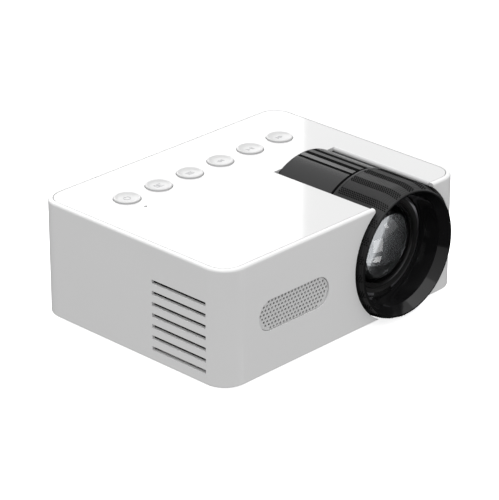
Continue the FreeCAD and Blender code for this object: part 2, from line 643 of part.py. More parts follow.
def lens_barrel():
    profile = [
        (BARREL_FRONT, 16.6),
        (BARREL_FRONT, BARREL_R - 0.3),
        (BARREL_FRONT + 0.3, BARREL_R),
        (BARREL_BACK, BARREL_R),
        (BARREL_BACK, 14.6),
        (-8.0, 14.6),
        (-8.0, 12.6),
        (-19.0, 12.6),
        (-19.0, 10.0),
        (-20.0, 10.0),
        (-20.0, 14.2),
        (-33.4, 14.2),
        (-33.4, 16.3),
        (BARREL_FRONT + 0.5, 16.3),
    ]
    barrel = turned(profile)
    holes = [about_lens(rod_x(PIN_Y, LENS_Z, PIN_R, LENS_X + 15.4, LENS_X + 19), a) for a in PIN_ANGLES]
    return barrel.cut(holes)


def barrel_pins():
    pin = rod_x(PIN_Y, LENS_Z, PIN_R, LENS_X + 15.4, LENS_X + PIN_REACH)
    return group([about_lens(pin, angle) for angle in PIN_ANGLES])


def front_lens():
    return glass_lens((LENS_X, -36.2, LENS_Z), (0, 1, 0), 16.2, 2.8, 22.0, 0)


def second_lens():
    return glass_lens((LENS_X, -30.6, LENS_Z), (0, 1, 0), 14.1, 4.6, -46.0, -30.0)


def third_lens():
    return glass_lens((LENS_X, -16.6, LENS_Z), (0, 1, 0), 12.5, 1.8, 40.0, 28.0)


def rear_lens():
    return glass_lens((LENS_X, -6.6, LENS_Z), (0, 1, 0), 14.5, 2.2, 30.0, 60.0)


def lens_spacers():
    """Rings that hold the lenses apart, with the threaded one in front of them."""
    lock = turned([(-38.3, 15.75), (-38.3, 16.25), (-36.25, 16.25), (-36.75, 15.8), (-37.0, 15.75)])
    first = turned([(-33.3, 13.0), (-33.3, 14.1), (-30.7, 14.1), (-30.7, 13.0)])
    second = turned([(-25.9, 12.6), (-25.9, 14.1), (-20.1, 14.1), (-20.1, 12.6)])
    third = turned([(-3.9, 13.2), (-3.9, 14.5), (2.8, 14.5), (2.8, 13.2)])
    return group([lock, first, second, third])


# ---------------------------------------------------------------- light path
def flex_slot():
    """Slot in the engine floor that the LCD's flat cable passes through."""
    x0 = FLAT_OPTICS["lcd_panel"][0]
    return box(x0 + 0.2, x0 + 1.1, LIGHT_Y - 6.5, LIGHT_Y + 6.5, ENGINE_Z0 - 1, ENGINE_Z0 + 3)


def optical_engine():
    """Open-topped black box that holds the optics in grooves."""
    w = ENGINE_WALL
    tray = box(ENGINE_X0, ENGINE_X1, ENGINE_Y0, ENGINE_Y1, ENGINE_Z0, ENGINE_Z1 - w)
    inner = box(ENGINE_X0 + w, ENGINE_X1 - w, ENGINE_Y0 + w, ENGINE_Y1 - w, ENGINE_Z0 + w, ENGINE_Z1)
    cuts = [inner, rod_y(LENS_X, LENS_Z, 12.4, ENGINE_Y0 - 1, ENGINE_Y0 + w + 1)]
    cuts.append(rod_x(LIGHT_Y, LENS_Z, 11.4, ENGINE_X0 - 1, ENGINE_X0 + w + 1))
    for x, t in FLAT_OPTICS.values():
        y0, y1 = LIGHT_Y - PLATE_HALF_Y - 0.1, LIGHT_Y + PLATE_HALF_Y + 0.1
        cuts.append(box(x - 0.05, x + t + 0.05, y0, y1, ENGINE_Z0 + w - 0.2, ENGINE_Z1))
    tray = tray.cut(cuts)
    posts = [rod_z(x, y, 2.3, ENGINE_Z0, ENGINE_Z0 + 4.6) for x, y in ENGINE_POSTS]
    rests = []
    for y0, y1 in ((ENGINE_Y0 + w - 0.2, 10.6), (35.4, ENGINE_Y1 - w + 0.2)):
        rests.append(box(CONDENSER_X - 1.4, CONDENSER_X, y0, y1, ENGINE_Z0 + 1, ENGINE_Z1 - w))
    seat = mirror_block(MIRROR_T, MIRROR_T + 2.0, ENGINE_Z0 + 1, ENGINE_Z0 + 9)
    tray = joined([tray, *posts, *rests, seat])
    holes = [rod_z(x, y, 1.0, ENGINE_Z0 - 1, ENGINE_Z0 + 3.6) for x, y in ENGINE_POSTS]
    holes.append(flex_slot())
    for angle in FLANGE_ANGLES:
        hole = rod_y(LENS_X + FLANGE_BOLT_R, LENS_Z, 0.7, ENGINE_Y0 - 1, ENGINE_Y0 + 1.5)
        holes.append(about_lens(hole, angle))
    return tray.cut(holes)


def engine_lid():
    z = ENGINE_Z1 - ENGINE_WALL
    lid = box(ENGINE_X0, ENGINE_X1, ENGINE_Y0, ENGINE_Y1, z, ENGINE_Z1)
    w = ENGINE_WALL + 0.15
    lip = box(ENGINE_X0 + w, -12.0, ENGINE_Y0 + w, ENGINE_Y1 - w, z - 0.4, z + 0.2)
    gap = box(CONDENSER_X - 1.6, CONDENSER_X + 9, ENGINE_Y0, ENGINE_Y1, z - 1, z)
    return joined([lid, lip.cut(gap)])


def flat_optic(name):
    x, t = FLAT_OPTICS[name]
    y0, y1 = LIGHT_Y - PLATE_HALF_Y, LIGHT_Y + PLATE_HALF_Y
    return box(x, x + t, y0, y1, LENS_Z - PLATE_HALF_Z, LENS_Z + PLATE_HALF_Z)


def mirror_block(near, far, z0, z1):
    """Upright block across the light path at 45 degrees, between two distances behind the mirror's face."""
    block = box(-MIRROR_L / 2, MIRROR_L / 2, near, far, z0, z1)
    block.rotate(Vector(0, 0, 0), Vector(0, 0, 1), -45)
    block.translate(Vector(LENS_X, LIGHT_Y, 0))
    return block


def fold_mirror():
    return mirror_block(0, MIRROR_T, ENGINE_Z0 + ENGINE_WALL, ENGINE_Z1 - ENGINE_WALL)


def condenser_lens():
    return glass_lens((CONDENSER_X, LIGHT_Y, LENS_Z), (1, 0, 0), 12.7, 1.6, 0, 22.0)


def light_cone():
    """Reflector between the LED and the engine's port."""
    x0, x1 = -29.3, ENGINE_X0
    length = x1 - x0
    axis = Vector(1, 0, 0)
    base = Vector(x0, LIGHT_Y, LENS_Z)
    outer = Part.makeCone(7.6, 12.6, length, base, axis)
    return outer.cut(Part.makeCone(6.4, 11.4, length, base, axis))


def led_module():
    """Metal-core board with the round LED array on its face."""
    board = box(-31.0, -29.4, LIGHT_Y - 13, LIGHT_Y + 13, LENS_Z - 13, LENS_Z + 13)
    return joined([board, rod_x(LIGHT_Y, LENS_Z, 5.6, -29.4, -28.6)])


def heatsink():
    """Base plate behind the LED with fins that lie flat, so air passes along Y to the fan."""
    base = box(-34.0, -31.0, SINK_Y0, SINK_Y1, SINK_Z0, SINK_Z1)
    fins = []
    for i in range(FIN_COUNT):
        z = SINK_Z0 + i * (SINK_Z1 - SINK_Z0 - FIN_T) / (FIN_COUNT - 1)
        fins.append(box(-57.0, -33.8, SINK_Y0, SINK_Y1, z, z + FIN_T))
    return joined([base, *fins])


# ---------------------------------------------------------------- cooling
def fan_frame():
    h = FAN_SIZE / 2
    x1 = FAN_X0 + FAN_T
    frame = box(FAN_X0, x1, FAN_Y - h, FAN_Y + h, FAN_Z - h, FAN_Z + h)
    frame = frame.cut(rod_x(FAN_Y, FAN_Z, 16.6, FAN_X0 - 1, x1 + 1))
    hub = rod_x(FAN_Y, FAN_Z, 8.4, FAN_X0, FAN_X0 + 1.2)
    struts = []
    for i in range(3):
        strut = box(FAN_X0, FAN_X0 + 1.2, FAN_Y + 7.5, FAN_Y + 17.0, FAN_Z - 0.9, FAN_Z + 0.9)
        strut.rotate(Vector(0, FAN_Y, FAN_Z), Vector(1, 0, 0), 30 + 120 * i)
        struts.append(strut)
    holes = []
    for sy in (-1, 1):
        for sz in (-1, 1):
            holes.append(rod_x(FAN_Y + sy * FAN_BOLT, FAN_Z + sz * FAN_BOLT, 1.4, FAN_X0 - 1, x1 + 1))
    return joined([frame, hub, *struts]).cut(holes)


def fan_stator():
    x0 = FAN_X0 + 1.2
    core = rod_x(FAN_Y, FAN_Z, 6.6, x0, x0 + 4.6)
    gaps = []
    for i in range(4):
        gap = box(x0 - 1, x0 + 6, FAN_Y + 4.0, FAN_Y + 9.0, FAN_Z - 0.5, FAN_Z + 0.5)
        gap.rotate(Vector(0, FAN_Y, FAN_Z), Vector(1, 0, 0), 45 + 90 * i)
        gaps.append(gap)
    return core.cut([rod_x(FAN_Y, FAN_Z, 2.3, x0 - 1, x0 + 6), *gaps])


def fan_bearing():
    x0 = FAN_X0 + 1.2
    return rod_x(FAN_Y, FAN_Z, 2.3, x0, x0 + 4.4).cut(rod_x(FAN_Y, FAN_Z, 0.8, x0 - 1, x0 + 6))


def fan_rotor():
    x0 = FAN_X0 + 1.8
    x1 = FAN_X0 + FAN_T - 0.8
    cup = rod_x(FAN_Y, FAN_Z, 8.6, x0, x1).cut(rod_x(FAN_Y, FAN_Z, 7.3, x0 - 1, x1 - 1.1))
    shaft = rod_x(FAN_Y, FAN_Z, 0.75, FAN_X0 + 1.5, x1 - 0.5)
    blades = []
    for i in range(7):
        blade = Part.makeBox(8.4, 0.9, 7.9, Vector(-4.2, -0.45, 8.0))
        blade.rotate(Vector(0, 0, 0), Vector(0, 0, 1), 42)
        blade = blade.common(Part.makeCylinder(16.0, 20, Vector(-10, 0, 0), Vector(1, 0, 0)))
        blade.translate(Vector((x0 + x1) / 2, FAN_Y, FAN_Z))
        blade.rotate(Vector(0, FAN_Y, FAN_Z), Vector(1, 0, 0), i * 360 / 7)
        blades.append(blade)
    return joined([cup, shaft, *blades])


def fan_screws():
    """Two screws through the fan's upper corners into the side wall."""
    x1 = FAN_X0 + FAN_T
    z = FAN_Z + FAN_BOLT
    screws = []
    for y in (FAN_Y - FAN_BOLT, FAN_Y + FAN_BOLT):
        head = rod_x(y, z, 2.2, x1, x1 + 1.2)
        screws.append(joined([head, rod_x(y, z, FAN_SCREW_R, -CASE_W / 2 + 1.0, x1 + 0.5)]))
    return screws


# ---------------------------------------------------------------- sound
def speaker_basket():
    y0, y1 = SPEAKER_FRONT, SPEAKER_FRONT + 7.0
    body = stadium(GRILLE_X, GRILLE_Z, SPEAKER_L, SPEAKER_H, y0, y1)
    ears = stadium(GRILLE_X, GRILLE_Z, 2 * SPEAKER_EAR + 4.4, 4.4, y0, y0 + 1.4)
    body = joined([body, ears])
    hollow = stadium(GRILLE_X, GRILLE_Z, SPEAKER_L - 2.4, SPEAKER_H - 2.4, y0 - 1, y1 - 1.2)
    windows = []
    for s in (-1, 1):
        windows.append(stadium(GRILLE_X + s * 13.5, GRILLE_Z, 8.0, 7.0, y1 - 2, y1 + 1))
    holes = [rod_y(GRILLE_X + s * SPEAKER_EAR, GRILLE_Z, 0.9, y0 - 1, y0 + 2) for s in (-1, 1)]
    return body.cut([hollow, rod_y(GRILLE_X, GRILLE_Z, 5.9, y1 - 2, y1 + 1), *windows, *holes])


def speaker_surround():
    y0 = CONE_Y - 0.9
    outer = stadium(GRILLE_X, GRILLE_Z, SPEAKER_L - 2.4, SPEAKER_H - 2.4, y0, y0 + 0.8)
    return outer.cut(stadium(GRILLE_X, GRILLE_Z, SPEAKER_L - 5.0, SPEAKER_H - 5.0, y0 - 1, y0 + 2))


def speaker_cone():
    """Shallow dish with its voice coil, which runs in the magnet's gap."""
    y = CONE_Y + 0.7
    plate = stadium(GRILLE_X, GRILLE_Z, SPEAKER_L - 5.6, SPEAKER_H - 5.6, y, y + 0.5)
    cap = Part.makeSphere(12.0, Vector(GRILLE_X, y + 10.6, GRILLE_Z), Vector(0, 1, 0))
    cap = cap.cut(Part.makeSphere(11.6, Vector(GRILLE_X, y + 10.6, GRILLE_Z), Vector(0, 1, 0)))
    cap = cap.common(rod_y(GRILLE_X, GRILLE_Z, 5.6, y - 4, y + 0.3))
    coil = rod_y(GRILLE_X, GRILLE_Z, 5.1, y + 0.2, y + 6.4).cut(rod_y(GRILLE_X, GRILLE_Z, 4.7, y - 1, y + 8))
    return joined([plate, cap, coil])


def speaker_screws():
    y = SPEAKER_FRONT + 1.4
    screws = []
    for s in (-1, 1):
        x = GRILLE_X + s * SPEAKER_EAR
        head = rod_y(x, GRILLE_Z, 1.7, y, y + 1.0)
        screws.append(joined([head, rod_y(x, GRILLE_Z, 0.7, Y_FRONT + WALL - 0.8, y + 0.2)]))
    return screws


def speaker_magnet():
    y0 = SPEAKER_FRONT + 7.0
    pot = rod_y(GRILLE_X, GRILLE_Z, 8.5, y0, y0 + 5.6)
    core = rod_y(GRILLE_X, GRILLE_Z, 4.3, y0 - 1, y0 + 4.0)
    return pot.cut(rod_y(GRILLE_X, GRILLE_Z, 5.6, y0 - 1, y0 + 4.0).cut(core))


# ---------------------------------------------------------------- electronics
def main_board():
    rear = box(-28.0, 54.0, 6.9, 48.4, BOARD_Z, BOARD_TOP)
    front = box(-48.0, -1.4, -28.0, 9.0, BOARD_Z, BOARD_TOP)
    front = front.cut(box(-49.0, -30.0, 4.0, 10.0, BOARD_Z - 1, BOARD_TOP + 1))
    holes = [rod_z(x, y, 1.1, BOARD_Z - 1, BOARD_TOP + 1) for x, y in BOARD_POSTS]
    holes += [rod_z(x, y, 2.9, BOARD_Z - 1, BOARD_TOP + 1) for x, y in ENGINE_POSTS]
    return joined([rear, front]).cut(holes)


def board_screws():
    """Four screws down into the base's posts and two up into the panel's."""
    main = [screw_z(x, y, BOARD_TOP + 1.1, 1.9, 1.1, 0.83, 3.4, False) for x, y in BOARD_POSTS]
    key = [screw_z(x, BUTTON_Y, KEY_BOARD_Z - 1.0, 1.7, 1.0, 0.68, 3.6, True) for x in KEY_POSTS]
    return main + key


def board_chips():
    """Processor, memory, driver and regulator packages on the main board."""
    t = BOARD_TOP
    sizes = (
        (-34.0, -12.0, 14.0, 14.0, 1.4),
        (-16.5, -12.0, 9.0, 11.0, 1.1),
        (-36.0, -24.0, 5.0, 4.0, 1.5),
        (-12.0, 2.0, 6.2, 5.0, 1.5),
        (13.0, 31.0, 8.0, 8.0, 1.0),
        (30.0, 26.0, 10.0, 6.0, 1.0),
    )
    chips = []
    for x, y, w, d, h in sizes:
        chips.append(box(x - w / 2, x + w / 2, y - d / 2, y + d / 2, t, t + h))
    return group(chips)


def board_capacitors():
    t = BOARD_TOP
    large, small = (3.15, 8.0), (2.5, 6.0)
    places = ((-44.5, -6.0, *large), (-44.5, 0.5, *large), (-22.0, -24.5, *small), (-16.0, -24.5, *small))
    cans = []
    for x, y, r, h in places:
        can = rod_z(x, y, r, t, t + h)
        ring = rod_z(x, y, r + 1, t + 1.2, t + 1.9).cut(rod_z(x, y, r - 0.25, t + 1, t + 2))
        cans.append(can.cut(ring))
    return group(cans)


def shelled_socket(name, tongue_h, tongue_z, lining):
    """A metal shell open to the rear with a plastic tongue that stands free inside it."""
    x, w, h = SOCKETS[name]
    z0 = BOARD_TOP
    shell = box(x - w / 2, x + w / 2, SOCKET_BACK, SOCKET_FRONT, z0, z0 + h)
    s = lining
    room = box(x - w / 2 + s, x + w / 2 - s, SOCKET_BACK + 1.5, SOCKET_FRONT + 1, z0 + s, z0 + h - s)
    half = w / 2 - 1.6
    z1 = z0 + tongue_z
    tongue = box(x - half, x + half, SOCKET_BACK + 1, SOCKET_FRONT - 1.2, z1, z1 + tongue_h)
    return joined([shell.cut(room), tongue])


def hdmi_socket():
    x, w, h = SOCKETS["hdmi"]
    socket = shelled_socket("hdmi", 1.2, 2.5, 0.5)
    corners = []
    for s in (-1, 1):
        wedge = Part.makeBox(3.0, 20, 3.0, Vector(-1.5, 30, -1.5))
        wedge.rotate(Vector(0, 0, 0), Vector(0, 1, 0), 45)
        wedge.translate(Vector(x + s * (w / 2 + 0.1), 0, BOARD_TOP - 0.1))
        corners.append(wedge.cut(box(-99, 99, 0, SOCKET_BACK + 1, 0, 60)))
    return socket.cut(corners)


def usb_socket():
    return shelled_socket("usb", 1.8, 3.6, 0.45)


def card_socket():
    x, w, h = SOCKETS["card"]
    shell = box(x - w / 2, x + w / 2, SOCKET_BACK - 2, SOCKET_FRONT, BOARD_TOP, BOARD_TOP + h)
    room = box(x - 5.7, x + 5.7, SOCKET_BACK, SOCKET_FRONT + 1, BOARD_TOP + 0.5, BOARD_TOP + 1.4)
    return shell.cut(room)


def av_jack():
    z = BOARD_TOP + AV_R
    body = box(AV_X - 3.1, AV_X + 3.1, SOCKET_BACK, Y_BACK - WALL - 0.2, BOARD_TOP, BOARD_TOP + 6.0)
    nose = rod_y(AV_X, z, AV_R, SOCKET_BACK + 2, SOCKET_FRONT)
    return joined([body, nose]).cut(rod_y(AV_X, z, 1.8, SOCKET_BACK + 0.6, SOCKET_FRONT + 1))


def dc_jack():
    """Power inlet: a round well with its centre pin."""
    z = BOARD_TOP + DC_R
    body = box(DC_X - 4.5, DC_X + 4.5, SOCKET_BACK, Y_BACK - WALL - 0.2, BOARD_TOP, BOARD_TOP + 9.0)
    nose = rod_y(DC_X, z, DC_R, SOCKET_BACK + 2, SOCKET_FRONT)
    well = rod_y(DC_X, z, 3.0, SOCKET_BACK + 1.2, SOCKET_FRONT + 1)
    pin = rod_y(DC_X, z, 1.0, SOCKET_BACK + 0.5, SOCKET_FRONT - 0.6)
    return joined([joined([body, nose]).cut(well), pin])


def ir_window():
    lens = rod_y(IR_X, IR_Z, IR_R, Y_BACK - WALL - 0.4, Y_BACK - 0.2)
    return joined([lens, rod_y(IR_X, IR_Z, IR_R + 0.9, Y_BACK - WALL - 0.9, Y_BACK - WALL - 0.02)])


def ir_receiver():
    y1 = Y_BACK - WALL - 1.1
    body = box(IR_X - 2.5, IR_X + 2.5, y1 - 2.2, y1, IR_Z - 3.5, IR_Z + 3.0)
    legs = []
    for x in (IR_X - 1.3, IR_X, IR_X + 1.3):
        legs.append(box(x - 0.2, x + 0.2, y1 - 1.4, y1 - 1.0, BOARD_TOP, IR_Z - 3.3))
    return joined([body, *legs])


def lcd_flex():
    """Flat cable from the LCD's lower edge down through the engine floor to the main board."""
    x0 = FLAT_OPTICS["lcd_panel"][0] + 0.5
    y0, y1 = LIGHT_Y - 6, LIGHT_Y + 6
    drop = box(x0, x0 + 0.2, y0, y1, BOARD_TOP + 1.0, LENS_Z - PLATE_HALF_Z)
    socket = box(x0 - 2.0, x0 + 2.2, y0 - 1, y1 + 1, BOARD_TOP, BOARD_TOP + 1.0)
    return joined([drop, socket])


def parts():
    """Every node's name and shape."""
    made = {
        "housing_frame": housing_frame(),
        "top_panel": top_panel(),
        "bottom_cover": bottom_cover(),
        "rubber_feet": rubber_feet(),
        "case_screws": case_screws(),
        "tripod_insert": tripod_insert(),
        "speaker_grille": speaker_grille(),
        "lens_cowl": lens_cowl(),
        "tact_switches": tact_switches(),
        "key_board": key_board(),
        "indicator_light": indicator_light(),
        "focus_ring": focus_ring(),
        "lens_tube": lens_tube(),
        "retaining_clip": retaining_clip(),
        "friction_washer": friction_washer(),
        "lens_barrel": lens_barrel(),
        "barrel_pins": barrel_pins(),
        "front_lens": front_lens(),
        "second_lens": second_lens(),
        "third_lens": third_lens(),
        "rear_lens": rear_lens(),
        "lens_spacers": lens_spacers(),
        "optical_engine": optical_engine(),
        "engine_lid": engine_lid(),
        "engine_screws": engine_screws(),
        "fold_mirror": fold_mirror(),
        "condenser_lens": condenser_lens(),
        "light_cone": light_cone(),
        "led_module": led_module(),
        "heatsink": heatsink(),
        "fan_frame": fan_frame(),
        "fan_stator": fan_stator(),
        "fan_bearing": fan_bearing(),
        "fan_rotor": fan_rotor(),
        "speaker_basket": speaker_basket(),
        "speaker_surround": speaker_surround(),
        "speaker_cone": speaker_cone(),
        "speaker_magnet": speaker_magnet(),
        "small_screws": group(board_screws() + fan_screws() + speaker_screws()),
        "main_board": main_board(),
        "board_chips": board_chips(),
        "board_capacitors": board_capacitors(),
        "hdmi_socket": hdmi_socket(),
        "usb_socket": usb_socket(),
        "card_socket": card_socket(),
        "av_jack": av_jack(),
        "dc_jack": dc_jack(),
        "ir_window": ir_window(),
        "ir_receiver": ir_receiver(),
        "lcd_flex": lcd_flex(),
    }
    for name in FLAT_OPTICS:
        made[name] = flat_optic(name)
    for i, name in enumerate(BUTTON_NAMES):
        made[f"{name}_button"] = button(i)
    return made


def main():
    os.makedirs("parts", exist_ok=True)
    for name, shape in parts().items():
        bad = [s for s in shape.Solids if not s.isValid()]
        print(f"{name:20s} solids {len(shape.Solids):3d} volume {shape.Volume:10.1f} valid {not bad}")
        shape.exportStep(f"parts/{name}.step")


main()
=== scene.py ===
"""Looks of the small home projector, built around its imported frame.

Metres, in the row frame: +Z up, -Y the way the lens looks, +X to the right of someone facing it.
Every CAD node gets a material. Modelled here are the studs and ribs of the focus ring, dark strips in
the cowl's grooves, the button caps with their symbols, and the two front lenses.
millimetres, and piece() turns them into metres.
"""

import json
import math

import bmesh
import bpy
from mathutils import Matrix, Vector
from mathutils.bvhtree import BVHTree


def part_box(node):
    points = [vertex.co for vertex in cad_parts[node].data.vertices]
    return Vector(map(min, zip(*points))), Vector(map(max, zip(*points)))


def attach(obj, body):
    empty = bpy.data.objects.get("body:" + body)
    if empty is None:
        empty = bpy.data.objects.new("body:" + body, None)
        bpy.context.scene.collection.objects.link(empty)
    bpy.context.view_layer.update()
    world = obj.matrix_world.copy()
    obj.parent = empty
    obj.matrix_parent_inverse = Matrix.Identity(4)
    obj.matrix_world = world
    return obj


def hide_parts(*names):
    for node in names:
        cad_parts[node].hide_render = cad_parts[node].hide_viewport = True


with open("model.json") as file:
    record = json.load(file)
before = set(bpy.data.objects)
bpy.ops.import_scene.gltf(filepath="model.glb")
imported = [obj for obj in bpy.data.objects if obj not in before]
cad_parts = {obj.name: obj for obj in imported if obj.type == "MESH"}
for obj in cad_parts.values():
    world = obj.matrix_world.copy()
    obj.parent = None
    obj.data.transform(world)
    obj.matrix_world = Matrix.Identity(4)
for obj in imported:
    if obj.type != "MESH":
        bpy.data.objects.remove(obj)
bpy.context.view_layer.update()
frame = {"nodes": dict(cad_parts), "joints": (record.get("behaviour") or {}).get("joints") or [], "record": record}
nodes = frame["nodes"]
joints = {joint["name"]: joint for joint in frame["joints"]}

MM = 0.001
LENS_MM = Vector(joints["focus_turn"]["pos_m"]) / MM  # a point on the lens axis, which runs along Y
SHARP_ANGLE = 35.0  # degrees; flatter edges are shaded smooth


# ---------------------------------------------------------------- materials
class Shader:
    """A node material under construction, with short calls for the nodes that the surfaces share."""

    def __init__(self, name, colour, roughness, **sockets):
        self.material = bpy.data.materials.new(name)
        self.material.use_nodes = True
        self.tree = self.material.node_tree
        self.bsdf = self.tree.nodes["Principled BSDF"]
        self.set("Base Color", (*colour, 1.0))
        self.set("Roughness", roughness)
        for socket, value in sockets.items():
            self.set(socket.replace("_", " "), value)

    def set(self, socket, value):
        self.bsdf.inputs[socket].default_value = value

    def node(self, kind, **values):
        made = self.tree.nodes.new(kind)
        for key, value in values.items():
            if key in made.inputs:
                made.inputs[key].default_value = value
            else:
                setattr(made, key, value)
        return made

    def link(self, source, target):
        self.tree.links.new(source, target)

    def place(self):
        """Object coordinates, which are the row frame in metres."""
        return self.node("ShaderNodeTexCoord").outputs["Object"]

    def noise(self, scale, stretch=(1, 1, 1)):
        mapping = self.node("ShaderNodeMapping")
        mapping.inputs["Scale"].default_value = stretch
        self.link(self.place(), mapping.inputs["Vector"])
        noise = self.node("ShaderNodeTexNoise", Scale=scale, Detail=2.0)
        self.link(mapping.outputs["Vector"], noise.inputs["Vector"])
        return noise.outputs["Fac"]

    def span(self, source, low, high):
        """source, from 0..1, spread over low..high."""
        spread = self.node("ShaderNodeMapRange")
        spread.inputs["To Min"].default_value = low
        spread.inputs["To Max"].default_value = high
        self.link(source, spread.inputs["Value"])
        return spread.outputs["Result"]

    def vary_roughness(self, scale, low, high, stretch=(1, 1, 1)):
        spread = self.span(self.noise(scale, stretch), low, high)
        self.link(spread, self.bsdf.inputs["Roughness"])
        return self

    def vary_colour(self, scale, first, second):
        mix = self.node("ShaderNodeMix", data_type="RGBA")
        mix.inputs["A"].default_value = (*first, 1.0)
        mix.inputs["B"].default_value = (*second, 1.0)
        self.link(self.noise(scale), mix.inputs["Factor"])
        self.link(mix.outputs["Result"], self.bsdf.inputs["Base Color"])
        return self

    def grain(self, scale, distance, stretch=(1, 1, 1)):
        """Fine relief, distance metres deep."""
        bump = self.node("ShaderNodeBump", Distance=distance, Strength=1.0)
        self.link(self.noise(scale, stretch), bump.inputs["Height"])
        self.link(bump.outputs["Normal"], self.bsdf.inputs["Normal"])
        return self


# noise scales, in cells per metre
COLOUR_DRIFT, SHEEN_DRIFT, PLASTIC_GRAIN = 18.0, 60.0, 2600.0
METAL_SHEEN, METAL_GRAIN, GLASS_SHEEN = 900.0, 2400.0, 300.0
DRIFT_SHADE = 0.965  # the darker end of a moulded colour's drift


def moulded(name, colour, low, high, grain=0.000004, **sockets):
    """Moulded plastic: a faint drift of colour and sheen over the part, and a fine surface grain."""
    shader = Shader(name, colour, (low + high) / 2, **sockets)
    drift = tuple(c * DRIFT_SHADE for c in colour)
    shader.vary_colour(COLOUR_DRIFT, colour, drift).vary_roughness(SHEEN_DRIFT, low, high)
    return shader.grain(PLASTIC_GRAIN, grain).material


def metal(name, colour, low, high, stretch=(1, 1, 1)):
    """Bare metal with uneven sheen; a stretch draws its grain out into brushing."""
    shader = Shader(name, colour, (low + high) / 2, Metallic=1.0)
    shader.vary_roughness(METAL_SHEEN, low, high, stretch)
    return shader.grain(METAL_GRAIN, 0.000003, stretch).material


def clear(name, colour, roughness=0.0, ior=1.5):
    """Glass or clear plastic."""
    shader = Shader(name, colour, roughness, Transmission_Weight=1.0, IOR=ior)
    return shader.vary_roughness(GLASS_SHEEN, roughness, roughness + 0.02).material


MOUTH_R, GRIP_R = 0.0249, 0.0254  # metres from the lens axis: polished inside, satin outside
MOUTH_ROUGHNESS, GRIP_ROUGHNESS = 0.1, 0.36


def ring_black():
    """Black plastic, satin on the grip and polished inside the mouth."""
    shader = Shader("ring_black", (0.009, 0.009, 0.0095), GRIP_ROUGHNESS, Specular_IOR_Level=0.33)
    centred = shader.node("ShaderNodeVectorMath", operation="SUBTRACT")
    centred.inputs[1].default_value = LENS_MM * MM
    shader.link(shader.place(), centred.inputs[0])
    across = shader.node("ShaderNodeVectorMath", operation="MULTIPLY")
    across.inputs[1].default_value = (1.0, 0.0, 1.0)
    shader.link(centred.outputs["Vector"], across.inputs[0])
    radius = shader.node("ShaderNodeVectorMath", operation="LENGTH")
    shader.link(across.outputs["Vector"], radius.inputs[0])
    spread = shader.node("ShaderNodeMapRange")
    spread.inputs["From Min"].default_value = MOUTH_R
    spread.inputs["From Max"].default_value = GRIP_R
    spread.inputs["To Min"].default_value = MOUTH_ROUGHNESS
    spread.inputs["To Max"].default_value = GRIP_ROUGHNESS
    shader.link(radius.outputs["Value"], spread.inputs["Value"])
    shader.link(spread.outputs["Result"], shader.bsdf.inputs["Roughness"])
    return shader.grain(PLASTIC_GRAIN, 0.000002).material


